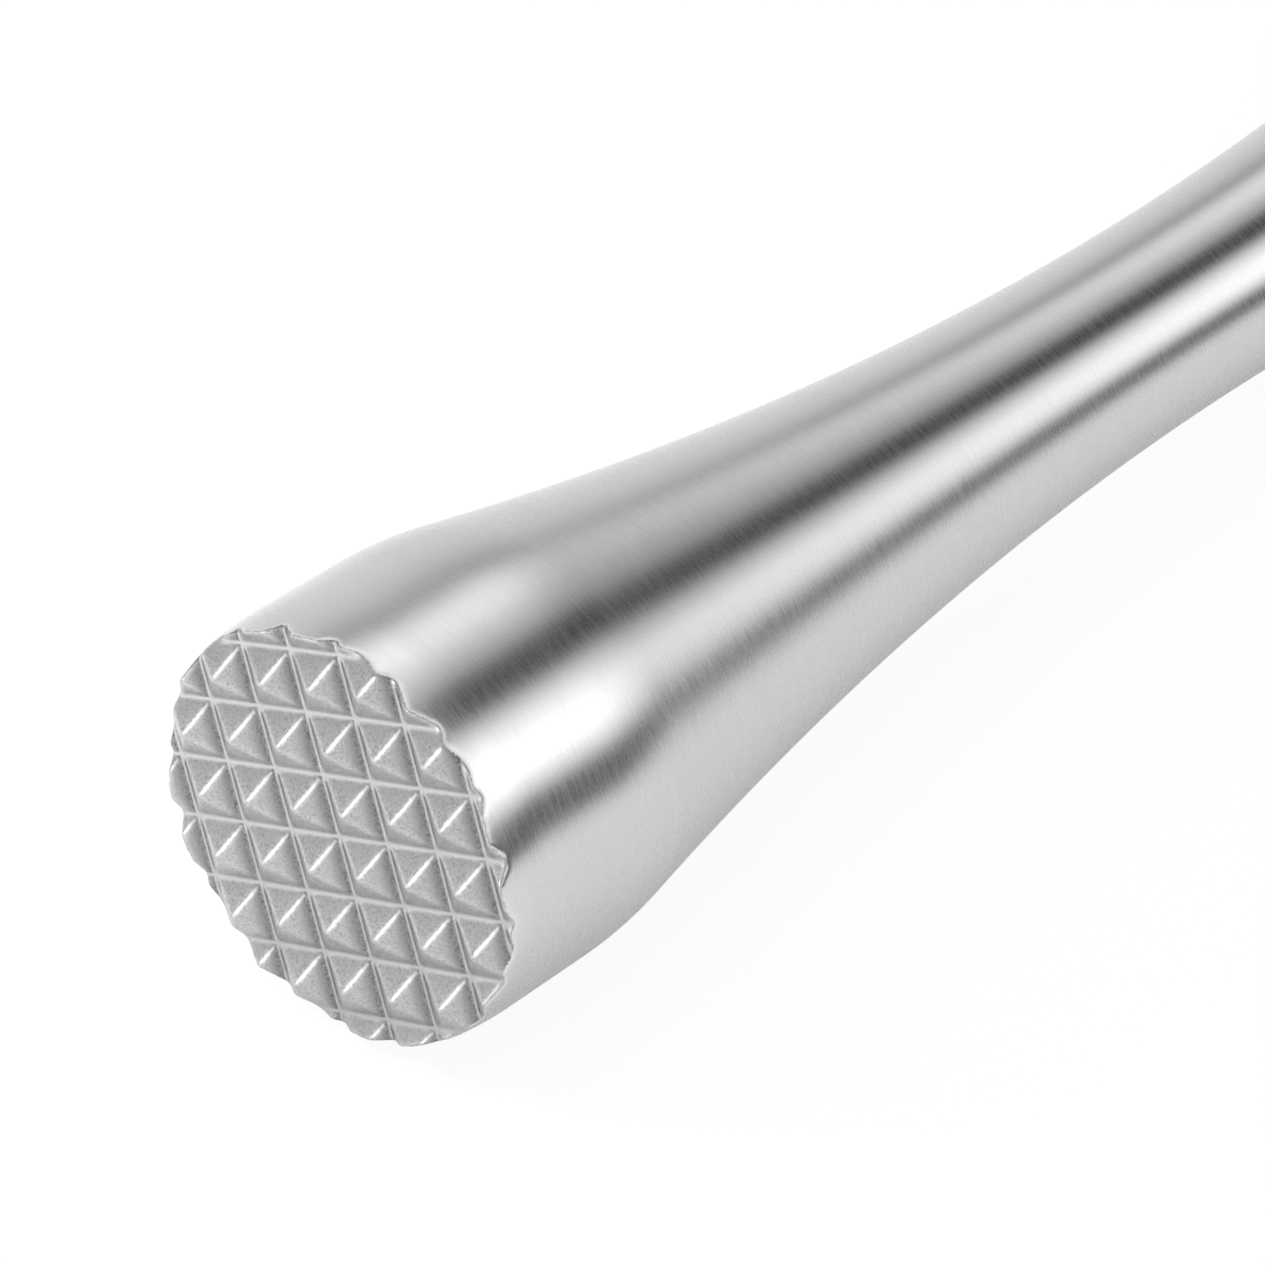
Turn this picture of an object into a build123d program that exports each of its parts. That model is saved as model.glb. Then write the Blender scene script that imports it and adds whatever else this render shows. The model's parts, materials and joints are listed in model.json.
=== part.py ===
"""Stainless steel muddler: a cast head with a pyramid face, a hollow necked body and a domed end cap.

The muddler lies on its side on the plane Z = 0, on the shoulder of its head and on its grip. Its
working face looks towards -Y and its grip points towards +Y. X is across it and Z is up. The origin
is on the resting plane, under the middle of the muddler's bounding box.

Everything is turned about one line, the lathe axis. Sections are drawn on a plane that holds that
axis, with X as the distance from the valleys of the face towards the grip, and Y as the radius.
"""

from build123d import *

import os
from math import asin, acos, atan2, cos, degrees, hypot, sin, sqrt

# Driving dimensions, in millimetres. Each "_AT" is a distance along the lathe axis.
LENGTH = 205.0  # from the tooth tips to the end of the dome
HEAD_RADIUS = 17.5  # plain cylinder around the head
HEAD_STARTS_AT = 4.0
HEAD_ENDS_AT = 12.5
FACE_RADIUS = 17.2  # the rim eases in to this at the valleys
WAIST_RADIUS = 8.7  # slimmest ring of the body
WAIST_AT = 103.0
WAIST_ARC = 430.0  # radius of the long hollow curve
GRIP_RADIUS = 12.0  # widest ring of the grip
GRIP_AT = 175.0

TOOTH_PITCH = 5.1  # from valley to valley
TOOTH_HEIGHT = 1.55
TIP_FLAT = 0.4  # width of the flat on top of each pyramid
VALLEY_FLAT = 0.3  # width of the flat along each valley
ROW_ROLL = 18.4  # degrees that the rows of pyramids are turned about the lathe axis
VALLEYS = 7  # in each direction, with the middle one through the centre
VALLEY_HEADROOM = 1.0  # how far a valley's cutter stands clear of the tips

BODY_WALL = 1.2
HEAD_SEAM_AT = 9.0  # butt joint between head and body
CAP_SEAM_AT = 190.0  # butt joint between body and end cap
HEAD_FLOOR_AT = 4.5  # bottom of the head's hollow back
HEAD_SPIGOT = 3.2  # length of the head's spigot inside the body
CAP_SPIGOT = 5.0
SPIGOT_WALL = 1.5
SPIGOT_CLEARANCE = 0.05  # on the radius, where the bore around the spigot is tightest
HOLLOW_FILLET = 2.0  # inside corner of the head's hollow back

WELD_DEPTH = 0.9  # of the groove that each weld fills
WELD_WIDTH = 1.4  # at the skin
WELD_OVERRUN = 0.5  # how far the groove is drawn past the skin, as a share of its depth

# The skin is one chain of tangent arcs, so these follow from the rings above.
TAIL_AT = LENGTH - TOOTH_HEIGHT


def arc_next_to_waist(ring_at, ring_radius):
    """Radius of the bulging arc that peaks at a ring and runs smoothly into the waist's arc."""
    rise = ring_radius - WAIST_RADIUS
    run = ring_at - WAIST_AT
    return (run**2 + rise**2) / (2 * rise) - WAIST_ARC


RIM_DROP = HEAD_RADIUS - FACE_RADIUS
RIM_ARC = (HEAD_STARTS_AT**2 + RIM_DROP**2) / (2 * RIM_DROP)
RIM_TURN = degrees(asin((HEAD_STARTS_AT + TOOTH_HEIGHT) / RIM_ARC))

SHOULDER_ARC = arc_next_to_waist(HEAD_ENDS_AT, HEAD_RADIUS)
SHOULDER_TURN = degrees(asin((WAIST_AT - HEAD_ENDS_AT) / (WAIST_ARC + SHOULDER_ARC)))

GRIP_ARC = arc_next_to_waist(GRIP_AT, GRIP_RADIUS)
FLARE_TURN = degrees(asin((GRIP_AT - WAIST_AT) / (WAIST_ARC + GRIP_ARC)))
GRIP_CENTRE = GRIP_ARC - GRIP_RADIUS  # how far past the lathe axis the grip's arc is centred
TAIL_REACH = TAIL_AT - GRIP_AT

DOME_ARC = (GRIP_ARC**2 - GRIP_CENTRE**2 - TAIL_REACH**2) / (2 * (GRIP_ARC - TAIL_REACH))
DOME_AT = TAIL_AT - DOME_ARC
CLOSING_TURN = degrees(acos(GRIP_CENTRE / (GRIP_ARC - DOME_ARC)))

# The shoulder and the grip both touch the plane that the muddler lies on, so the axis dips.
ARC_CENTRES_ALONG = GRIP_AT - HEAD_ENDS_AT
ARC_CENTRES_ACROSS = GRIP_CENTRE - (SHOULDER_ARC - HEAD_RADIUS)
ARC_CENTRES_APART = hypot(ARC_CENTRES_ALONG, ARC_CENTRES_ACROSS)
DIP = atan2(ARC_CENTRES_ACROSS, ARC_CENTRES_ALONG) - asin((GRIP_ARC - SHOULDER_ARC) / ARC_CENTRES_APART)
FACE_HEIGHT = HEAD_ENDS_AT * sin(DIP) + HEAD_RADIUS * cos(DIP) + SHOULDER_ARC * (1 - cos(DIP))
FRONT_REACH = TOOTH_HEIGHT * cos(DIP) + FACE_RADIUS * sin(DIP)
BACK_REACH = DOME_AT * cos(DIP) + DOME_ARC

# Radii where the seams are.
BODY_BORE_AT_HEAD = HEAD_RADIUS - BODY_WALL
SKIN_AT_CAP = sqrt(GRIP_ARC**2 - (CAP_SEAM_AT - GRIP_AT) ** 2) - GRIP_CENTRE
BODY_BORE_AT_CAP = sqrt((GRIP_ARC - BODY_WALL) ** 2 - (CAP_SEAM_AT - GRIP_AT) ** 2) - GRIP_CENTRE
HEAD_SPIGOT_RADIUS = BODY_BORE_AT_HEAD - SPIGOT_CLEARANCE
CAP_SPIGOT_RADIUS = BODY_BORE_AT_CAP - SPIGOT_CLEARANCE

SECTION = Plane(
    origin=(0, (FRONT_REACH - BACK_REACH) / 2, FACE_HEIGHT),
    x_dir=(0, cos(DIP), -sin(DIP)),
    z_dir=(1, 0, 0),
)
LATHE_AXIS = Axis(SECTION.origin, SECTION.x_dir)


def skin_section(inset, mode):
    """Section inside the skin, or inside a line that runs a little way under the skin."""
    with BuildLine() as outline:
        band = Line((HEAD_STARTS_AT, HEAD_RADIUS - inset), (HEAD_ENDS_AT, HEAD_RADIUS - inset))
        rim = JernArc(band @ 0, (-1, 0), RIM_ARC - inset, RIM_TURN)
        shoulder = JernArc(band @ 1, (1, 0), SHOULDER_ARC - inset, -SHOULDER_TURN)
        waist = JernArc(shoulder @ 1, shoulder % 1, WAIST_ARC + inset, SHOULDER_TURN + FLARE_TURN)
        grip = JernArc(waist @ 1, waist % 1, GRIP_ARC - inset, -FLARE_TURN - CLOSING_TURN)
        dome = JernArc(grip @ 1, grip % 1, DOME_ARC - inset, CLOSING_TURN - 90)
        Polyline(dome @ 1, ((rim @ 1).X, 0), rim @ 1)
    make_face(outline.edges(), mode=mode)


def bar_section(start_at, end_at, radius, mode):
    """Section of a plain round bar between two places on the axis."""
    with Locations((start_at, 0)):
        Rectangle(end_at - start_at, radius, align=(Align.MIN, Align.MIN), mode=mode)


def groove_section(seam_at, skin_radius, mode):
    """Section of the V that is ground around a butt joint and then filled with weld."""
    top = skin_radius + WELD_DEPTH * WELD_OVERRUN
    half_width = WELD_WIDTH / 2 * (1 + WELD_OVERRUN)
    corners = (
        (seam_at, skin_radius - WELD_DEPTH),
        (seam_at + half_width, top),
        (seam_at - half_width, top),
    )
    Polygon(*corners, align=None, mode=mode)


def weld_ring(label, seam_at, skin_radius):
    """Weld bead, ground flush with the skin on both sides of its seam."""
    with BuildPart() as weld:
        with BuildSketch(SECTION):
            groove_section(seam_at, skin_radius, Mode.ADD)
            skin_section(0, Mode.INTERSECT)
        revolve(axis=LATHE_AXIS)
    weld.part.label = label
    return weld.part


# Head casting: the pyramid face, the plain band behind it, and a spigot around the hollow back.
HOLLOW_DEPTH = HEAD_SEAM_AT + HEAD_SPIGOT - HEAD_FLOOR_AT
HOLLOW_RADIUS = HEAD_SPIGOT_RADIUS - SPIGOT_WALL
VALLEY_CORNERS = (
    (0, -VALLEY_FLAT / 2),
    (0, VALLEY_FLAT / 2),
    (-TOOTH_HEIGHT, (TOOTH_PITCH - TIP_FLAT) / 2),
    (-TOOTH_HEIGHT - VALLEY_HEADROOM, (TOOTH_PITCH - TIP_FLAT) / 2),
    (-TOOTH_HEIGHT - VALLEY_HEADROOM, (TIP_FLAT - TOOTH_PITCH) / 2),
    (-TOOTH_HEIGHT, (TIP_FLAT - TOOTH_PITCH) / 2),
)

with BuildPart() as head_casting:
    with BuildSketch(SECTION):
        skin_section(0, Mode.ADD)
        bar_section(-TOOTH_HEIGHT, HEAD_SEAM_AT, 2 * HEAD_RADIUS, Mode.INTERSECT)
        groove_section(HEAD_SEAM_AT, HEAD_RADIUS, Mode.SUBTRACT)
        bar_section(0, HEAD_SEAM_AT + HEAD_SPIGOT, HEAD_SPIGOT_RADIUS, Mode.ADD)
        # Only the near end of this rounded section cuts; its far end is clear of the spigot.
        with Locations((HEAD_FLOOR_AT, 0)):
            RectangleRounded(
                2 * HOLLOW_DEPTH,
                2 * HOLLOW_RADIUS,
                HOLLOW_FILLET,
                align=(Align.MIN, Align.CENTER),
                mode=Mode.SUBTRACT,
            )
    revolve(axis=LATHE_AXIS)
    for quarter_turn in (0, 90):
        with BuildSketch(SECTION * Rotation(quarter_turn - ROW_ROLL, 0, 0)):
            with GridLocations(TOOTH_PITCH, TOOTH_PITCH, 1, VALLEYS):
                Polygon(*VALLEY_CORNERS, align=None)
        extrude(amount=2 * HEAD_RADIUS, both=True, mode=Mode.SUBTRACT)
head_casting.part.label = "head_casting"

# Body shell: one necked tube from the head's band to the start of the dome.
with BuildPart() as body_shell:
    with BuildSketch(SECTION):
        skin_section(0, Mode.ADD)
        skin_section(BODY_WALL, Mode.SUBTRACT)
        bar_section(HEAD_SEAM_AT, CAP_SEAM_AT, 2 * HEAD_RADIUS, Mode.INTERSECT)
        groove_section(HEAD_SEAM_AT, HEAD_RADIUS, Mode.SUBTRACT)
        groove_section(CAP_SEAM_AT, SKIN_AT_CAP, Mode.SUBTRACT)
    revolve(axis=LATHE_AXIS)
body_shell.part.label = "body_shell"

# End cap: a dome with a spigot, bored from its open end with a ball-nosed cutter.
SPIGOT_END_AT = CAP_SEAM_AT - CAP_SPIGOT

with BuildPart() as end_cap:
    with BuildSketch(SECTION):
        skin_section(0, Mode.ADD)
        bar_section(CAP_SEAM_AT, LENGTH, 2 * HEAD_RADIUS, Mode.INTERSECT)
        groove_section(CAP_SEAM_AT, SKIN_AT_CAP, Mode.SUBTRACT)
        bar_section(SPIGOT_END_AT, DOME_AT, CAP_SPIGOT_RADIUS, Mode.ADD)
        # The other round end of this slot is clear of the spigot.
        with Locations((SPIGOT_END_AT, 0)):
            SlotCenterToCenter(
                2 * (DOME_AT - SPIGOT_END_AT),
                2 * (CAP_SPIGOT_RADIUS - SPIGOT_WALL),
                mode=Mode.SUBTRACT,
            )
    revolve(axis=LATHE_AXIS)
end_cap.part.label = "end_cap"

head_weld = weld_ring("head_weld", HEAD_SEAM_AT, HEAD_RADIUS)
cap_weld = weld_ring("cap_weld", CAP_SEAM_AT, SKIN_AT_CAP)

os.makedirs("parts", exist_ok=True)
export_step(head_casting.part, "parts/head_casting.step")
export_step(body_shell.part, "parts/body_shell.step")
export_step(end_cap.part, "parts/end_cap.step")
export_step(head_weld, "parts/head_weld.step")
export_step(cap_weld, "parts/cap_weld.step")
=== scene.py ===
# %% [markdown]
# # A stainless steel muddler
#
# A muddler is the bar tool that crushes fruit and herbs in the bottom of a glass. This one is all
# stainless steel. Its head is a casting with a grid of blunt pyramids on the working face, its body
# is a tube that narrows to a waist, and its grip ends in a dome. It lies on its side on a pale
# table, and everything but the pyramids is turned about one line, the lathe axis.
#
# The lesson places the camera, turns each piece on a lathe, and makes the steel: one finish for what
# was brushed on the lathe, one for what was left as cast. At the end it lights the muddler.

import json
from math import asin, cos, degrees, hypot, pi, radians, sin, sqrt, tau

import bpy
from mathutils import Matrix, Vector


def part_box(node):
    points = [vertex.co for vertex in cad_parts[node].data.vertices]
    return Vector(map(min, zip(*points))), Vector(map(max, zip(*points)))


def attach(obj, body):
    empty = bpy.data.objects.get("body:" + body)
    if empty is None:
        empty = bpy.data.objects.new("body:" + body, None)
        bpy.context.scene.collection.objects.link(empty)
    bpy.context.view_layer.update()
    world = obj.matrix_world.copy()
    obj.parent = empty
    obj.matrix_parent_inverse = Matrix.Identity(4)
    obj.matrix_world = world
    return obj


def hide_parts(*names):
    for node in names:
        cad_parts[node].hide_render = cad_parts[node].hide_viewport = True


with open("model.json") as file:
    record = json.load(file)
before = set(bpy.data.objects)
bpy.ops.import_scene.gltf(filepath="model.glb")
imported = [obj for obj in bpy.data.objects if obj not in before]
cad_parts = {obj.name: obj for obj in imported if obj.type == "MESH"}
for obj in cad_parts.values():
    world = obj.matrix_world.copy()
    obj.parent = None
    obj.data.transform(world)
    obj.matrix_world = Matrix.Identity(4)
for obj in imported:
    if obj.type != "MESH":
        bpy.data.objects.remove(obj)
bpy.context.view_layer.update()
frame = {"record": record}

# %% [markdown]
# ## Where the lathe axis runs
#
# The model's record names the plain band around the head as a place to hold the muddler by. It
# gives the band's middle, its radius and the way it points, which is the lathe axis. Lengths below
# are in millimetres along that axis, counted from the valleys between the pyramids towards the
# grip, and MM turns them into Blender's metres.

# %% Lathe axis and driving dimensions
MM = 0.001

band = next(m for m in frame["record"]["mounts"] if m["name"] == "head_band")
HEAD_RADIUS = band["dims"]["r_mm"]
HEAD_STARTS_AT = 4.0  # behind the eased rim
HEAD_ENDS_AT = HEAD_STARTS_AT + band["dims"]["length_mm"]
AXIS = -Vector(band["axis"]).normalized()  # from the face towards the grip
FACE_CENTRE = Vector(band["pos_m"]) - AXIS * MM * (HEAD_STARTS_AT + HEAD_ENDS_AT) / 2
DIP = asin(-AXIS.z)  # the axis dips towards the grip, because head and grip differ in size

TOOTH_HEIGHT = 1.55
UNWORN_HEIGHT = 1.68  # wear takes the tips down to about the tooth height
TOOTH_PITCH = 5.1
TIP_FLAT = 0.1  # before wear, which widens it to about 0.4
VALLEY_FLAT = 0.3
ROW_ROLL = radians(18.4)

FACE_RADIUS = 17.2
WAIST_RADIUS = 8.7
WAIST_AT = 103.0
WAIST_ARC = 430.0
GRIP_RADIUS = 12.0
GRIP_AT = 175.0
TAIL_AT = 205.0 - TOOTH_HEIGHT

BODY_WALL = 1.2
HEAD_SEAM_AT = 9.0
CAP_SEAM_AT = 190.0
WELD_DEPTH = 0.9
WELD_WIDTH = 1.4
SPIGOT_WALL = 1.5
SPIGOT_CLEARANCE = 0.05
HEAD_SPIGOT = 3.2
CAP_SPIGOT = 5.0
HEAD_FLOOR_AT = 4.5
face_centre_mm = [round(v / MM, 2) for v in FACE_CENTRE]
print(f"axis dips {degrees(DIP):.2f} degrees, face centre at {face_centre_mm} mm")

# %% [markdown]
# ## The outline of the turned surface
#
# A lathe outline is best given as a rule, not as a list of points. This one is a chain of arcs that
# run smoothly into each other: the eased rim, the plain band, the shoulder, the long hollow of the
# waist, the bulge of the grip and the dome. Each arc's radius follows from where the rings stand.

# %% Radius of the skin at any place along the axis
def arc_next_to_waist(ring_at, ring_radius):
    """Radius of the bulging arc that peaks at a ring and runs into the waist's arc."""
    rise = ring_radius - WAIST_RADIUS
    run = ring_at - WAIST_AT
    return (run**2 + rise**2) / (2 * rise) - WAIST_ARC


RIM_DROP = HEAD_RADIUS - FACE_RADIUS
RIM_ARC = (HEAD_STARTS_AT**2 + RIM_DROP**2) / (2 * RIM_DROP)
SHOULDER_ARC = arc_next_to_waist(HEAD_ENDS_AT, HEAD_RADIUS)
SHOULDER_SHARE = SHOULDER_ARC / (WAIST_ARC + SHOULDER_ARC)
SHOULDER_ENDS_AT = HEAD_ENDS_AT + (WAIST_AT - HEAD_ENDS_AT) * SHOULDER_SHARE
GRIP_ARC = arc_next_to_waist(GRIP_AT, GRIP_RADIUS)
GRIP_CENTRE = GRIP_ARC - GRIP_RADIUS
FLARE_ENDS_AT = WAIST_AT + (GRIP_AT - WAIST_AT) * WAIST_ARC / (WAIST_ARC + GRIP_ARC)
TAIL_REACH = TAIL_AT - GRIP_AT
DOME_ARC = (GRIP_ARC**2 - GRIP_CENTRE**2 - TAIL_REACH**2) / (2 * (GRIP_ARC - TAIL_REACH))
DOME_AT = TAIL_AT - DOME_ARC
DOME_STARTS_AT = GRIP_AT + (DOME_AT - GRIP_AT) * GRIP_ARC / (GRIP_ARC - DOME_ARC)


def bulge(at, ring_at, ring_radius, arc):
    """Radius on an arc that peaks at a ring and falls away on both sides of it."""
    return ring_radius - arc + sqrt(arc**2 - (at - ring_at) ** 2)


def skin_radius(at):
    """Radius of the turned surface at a distance along the axis."""
    if at < HEAD_STARTS_AT:
        return bulge(at, HEAD_STARTS_AT, HEAD_RADIUS, RIM_ARC)
    if at < HEAD_ENDS_AT:
        return HEAD_RADIUS
    if at < SHOULDER_ENDS_AT:
        return bulge(at, HEAD_ENDS_AT, HEAD_RADIUS, SHOULDER_ARC)
    if at < FLARE_ENDS_AT:
        return WAIST_RADIUS + WAIST_ARC - sqrt(WAIST_ARC**2 - (at - WAIST_AT) ** 2)
    if at < DOME_STARTS_AT:
        return bulge(at, GRIP_AT, GRIP_RADIUS, GRIP_ARC)
    return sqrt(max(0.0, DOME_ARC**2 - (at - DOME_AT) ** 2))


def stretch(start, end, steps):
    """Places from start to end, both included, in equal steps."""
    return [start + (end - start) * k / steps for k in range(steps + 1)]


def along_skin(start, end, steps):
    """Stations (distance along the axis, radius) on the skin, from start to end."""
    return [(at, skin_radius(at)) for at in stretch(start, end, steps)]


for place, at in (("band", HEAD_STARTS_AT), ("waist", WAIST_AT), ("grip", GRIP_AT)):
    print(f"{place}: radius {skin_radius(at):.2f} mm at {at:.1f} mm")

# %% [markdown]
# ## The camera
#
# The camera looks down on the head from the right, from so close that the head looks much larger
# than the waist behind it. A long lens keeps the face's grid nearly square. The camera looks past
# the head, not straight at it, so the grip runs out of the picture at the upper right.

# %% Camera
CAMERA_FROM_FACE = Vector((244.4, -255.3, 262.7)) * MM
CAMERA_AZIMUTH = 40.23
CAMERA_ELEVATION = 34.71
LENS = 169.0
SENSOR_WIDTH = 36.0
NEAREST = 0.02
FARTHEST = 60.0

camera_data = bpy.data.cameras.new("camera")
camera_data.lens = LENS
camera_data.sensor_width = SENSOR_WIDTH
camera_data.clip_start = NEAREST
camera_data.clip_end = FARTHEST
camera = bpy.data.objects.new("camera", camera_data)
camera.location = FACE_CENTRE + CAMERA_FROM_FACE
camera.rotation_euler = (radians(90 - CAMERA_ELEVATION), 0, radians(CAMERA_AZIMUTH))
bpy.context.collection.objects.link(camera)
bpy.context.scene.camera = camera
print(f"camera {camera.location.length:.3f} m from the origin, lens {LENS} mm")

# %% [markdown]
# ## Working by hand, in code
#
# Blender's operators act on whatever is selected, so a step begins by selecting exactly what it
# should touch, or nothing. A primitive is always added with nothing else selected.

# %% Selecting, adding a square and applying a modifier
def select_only(piece):
    """Make one object the selected and active one, in object mode."""
    if bpy.context.object and bpy.context.object.mode != "OBJECT":
        bpy.ops.object.mode_set(mode="OBJECT")
    bpy.ops.object.select_all(action="DESELECT")
    piece.select_set(True)
    bpy.context.view_layer.objects.active = piece


def add_square(name, size, location=(0, 0, 0)):
    """A level square, the start of every new piece here."""
    bpy.ops.object.select_all(action="DESELECT")
    bpy.ops.mesh.primitive_plane_add(size=size, location=location)
    bpy.context.object.name = name
    return bpy.context.object


def apply_modifier(piece, kind, **settings):
    """Add a modifier with these settings and apply it."""
    select_only(piece)
    modifier = piece.modifiers.new(kind.lower(), kind)
    for name, value in settings.items():
        setattr(modifier, name, value)
    bpy.ops.object.modifier_apply(modifier=modifier.name)


def triangles_in(piece):
    """How many triangles the piece has once its faces are cut into triangles."""
    return sum(len(face.vertices) - 2 for face in piece.data.polygons)


# %% [markdown]
# ## The lathe
#
# A turned piece is half a section spun about the axis. The section is drawn as a modeller would:
# one vertex, extruded from station to station. A square merged to its centre is the one vertex to
# start from. Spinning it right round and merging what meets closes the piece, and its poles too.
#
# Pieces are turned about the Y axis, with the valleys of the face at Y = 0, and laid down at the
# end, when the finished piece is moved on to the dipping axis and its place is put in its mesh.

# %% Turning a section
TURNS = 240  # facets around the axis
MERGE_WITHIN = 0.002  # mm
SMOOTH_BELOW = radians(35)  # a sharper edge than this stays a visible edge


def draw_section(name, stations):
    """A chain of edges through (distance along the axis, radius) stations."""
    start_at, start_radius = stations[0]
    section = add_square(name, MM, (0, start_at * MM, start_radius * MM))
    bpy.ops.object.transform_apply(location=True)
    bpy.ops.object.mode_set(mode="EDIT")
    bpy.ops.mesh.select_all(action="SELECT")
    bpy.ops.mesh.merge(type="CENTER")
    for (at, radius), (next_at, next_radius) in zip(stations, stations[1:]):
        step = (0, (next_at - at) * MM, (next_radius - radius) * MM)
        bpy.ops.mesh.extrude_region_move(TRANSFORM_OT_translate={"value": step})
    bpy.ops.object.mode_set(mode="OBJECT")
    return section


def turn(name, stations, steps=TURNS):
    """Spin a section right round the Y axis."""
    piece = draw_section(name, stations)
    bpy.ops.object.mode_set(mode="EDIT")
    bpy.ops.mesh.select_all(action="SELECT")
    bpy.ops.mesh.spin(steps=steps, angle=tau, center=(0, 0, 0), axis=(0, 1, 0))
    bpy.ops.mesh.select_all(action="SELECT")
    bpy.ops.mesh.remove_doubles(threshold=MERGE_WITHIN * MM)
    bpy.ops.mesh.normals_make_consistent(inside=False)
    bpy.ops.object.mode_set(mode="OBJECT")
    return piece


def lay_down(piece):
    """Move a piece from the Y axis on to the lathe axis, and put that place in its mesh."""
    select_only(piece)
    piece.rotation_euler = (-DIP, 0, 0)
    piece.location = FACE_CENTRE
    bpy.ops.object.transform_apply(location=True, rotation=True, scale=True)
    bpy.ops.object.shade_smooth_by_angle(angle=SMOOTH_BELOW)
    print(f"{piece.name}: {triangles_in(piece)} triangles")


# %% [markdown]
# ## The body
#
# The body is one tube with a thin wall, which was drawn, necked in at the waist and brushed on the
# lathe. Its section runs along the skin, down the ground edge where the weld sits, back along the
# bore, and up the other ground edge. Closing that chain makes a tube with a real wall.

# %% Necked body
def bore_radius(at):
    """Radius of the body's bore, which follows the skin one wall below it."""
    return skin_radius(at) - BODY_WALL


HALF_WELD = WELD_WIDTH / 2
body_section = along_skin(HEAD_SEAM_AT + HALF_WELD, HEAD_ENDS_AT, 2)
body_section += along_skin(HEAD_ENDS_AT, SHOULDER_ENDS_AT, 14)[1:]
body_section += along_skin(SHOULDER_ENDS_AT, FLARE_ENDS_AT, 60)[1:]
body_section += along_skin(FLARE_ENDS_AT, CAP_SEAM_AT - HALF_WELD, 30)[1:]
body_section += [(CAP_SEAM_AT, skin_radius(CAP_SEAM_AT) - WELD_DEPTH)]
body_section += [(at, bore_radius(at)) for at in stretch(CAP_SEAM_AT, HEAD_SEAM_AT, 24)]
body_section += [(HEAD_SEAM_AT, HEAD_RADIUS - WELD_DEPTH), body_section[0]]

necked_body = turn("necked_body", body_section)
lay_down(necked_body)

# %% [markdown]
# ## The weld beads
#
# Head and cap are welded to the body all the way round, and the beads are ground flush and brushed
# with the rest. They are separate pieces of metal, yet the eye should not find them, so their
# outer surface is a stretch of the same outline as their neighbours.

# %% Weld beads
def weld_bead(name, seam_at):
    """Ring with a V section, as wide as the groove at the skin."""
    skin = along_skin(seam_at - HALF_WELD, seam_at + HALF_WELD, 2)
    bead = turn(name, [*skin, (seam_at, skin_radius(seam_at) - WELD_DEPTH), skin[0]])
    lay_down(bead)
    return bead


head_bead = weld_bead("head_bead", HEAD_SEAM_AT)
cap_bead = weld_bead("cap_bead", CAP_SEAM_AT)

# %% [markdown]
# ## The end cap
#
# The cap closes the grip with a dome that is nearly half a ball. Behind it is a short spigot that
# centres it in the tube for welding. Its section starts at the pole of the dome and ends at the
# pole of the hollow, so both poles lie on the axis and close when the doubles are merged.

# %% Domed cap
CAP_SPIGOT_RADIUS = bore_radius(CAP_SEAM_AT) - SPIGOT_CLEARANCE
CAP_HOLLOW = CAP_SPIGOT_RADIUS - SPIGOT_WALL
SPIGOT_END_AT = CAP_SEAM_AT - CAP_SPIGOT


def quarter_ball(centre_at, radius, steps):
    """Stations over a ball end, from its pole on the axis to its widest ring."""
    angles = [pi / 2 * k / steps for k in range(steps + 1)]
    return [(centre_at + radius * cos(angle), radius * sin(angle)) for angle in angles]


dome = [station for station in quarter_ball(DOME_AT, DOME_ARC, 40) if station[0] > DOME_STARTS_AT]
cap_section = dome + along_skin(DOME_STARTS_AT, CAP_SEAM_AT + HALF_WELD, 1)
cap_section += [(CAP_SEAM_AT, skin_radius(CAP_SEAM_AT) - WELD_DEPTH)]
cap_section += [(CAP_SEAM_AT, CAP_SPIGOT_RADIUS), (SPIGOT_END_AT, CAP_SPIGOT_RADIUS)]
cap_section += [(SPIGOT_END_AT, CAP_HOLLOW)] + quarter_ball(DOME_AT, CAP_HOLLOW, 12)[::-1]

domed_cap = turn("domed_cap", cap_section)
lay_down(domed_cap)

# %% [markdown]
# ## The pyramid face
#
# The pattern is one pyramid, repeated. It is modelled once, lying flat: a square as wide as the
# pitch, inset by half a valley, then inset again with a depth, which lifts the middle into a
# pyramid with a small flat on top. Two arrays lay it out, and an extrusion gives the sheet a back.

# %% One pyramid, then the whole sheet
SHEET_ROWS = 8
SHEET_BACK = 3.0  # thickness behind the valleys
ARRAY_MERGE = 0.01  # mm
FLANK_RUN = (TOOTH_PITCH - VALLEY_FLAT - TIP_FLAT) / 2

sheet = add_square("cast_head", TOOTH_PITCH * MM)
bpy.ops.object.mode_set(mode="EDIT")
bpy.ops.mesh.select_all(action="SELECT")
bpy.ops.mesh.inset(thickness=VALLEY_FLAT / 2 * MM, depth=0)
bpy.ops.mesh.inset(thickness=FLANK_RUN * MM, depth=UNWORN_HEIGHT * MM)
bpy.ops.object.mode_set(mode="OBJECT")

for direction in ((1, 0, 0), (0, 1, 0)):
    apply_modifier(
        sheet,
        "ARRAY",
        count=SHEET_ROWS,
        use_merge_vertices=True,
        merge_threshold=ARRAY_MERGE * MM,
        relative_offset_displace=direction,
    )
half_sheet = TOOTH_PITCH * (SHEET_ROWS - 1) / 2 * MM
sheet.location = (-half_sheet, -half_sheet, 0)
bpy.ops.object.transform_apply(location=True)

bpy.ops.object.mode_set(mode="EDIT")
bpy.ops.mesh.select_all(action="SELECT")
bpy.ops.mesh.region_to_loop()
bpy.ops.mesh.extrude_edges_move(TRANSFORM_OT_translate={"value": (0, 0, -SHEET_BACK * MM)})
bpy.ops.mesh.edge_face_add()
bpy.ops.mesh.select_all(action="SELECT")
bpy.ops.mesh.normals_make_consistent(inside=False)
bpy.ops.object.mode_set(mode="OBJECT")
print(f"sheet of {SHEET_ROWS} by {SHEET_ROWS} pyramids, {triangles_in(sheet)} triangles")

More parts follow.
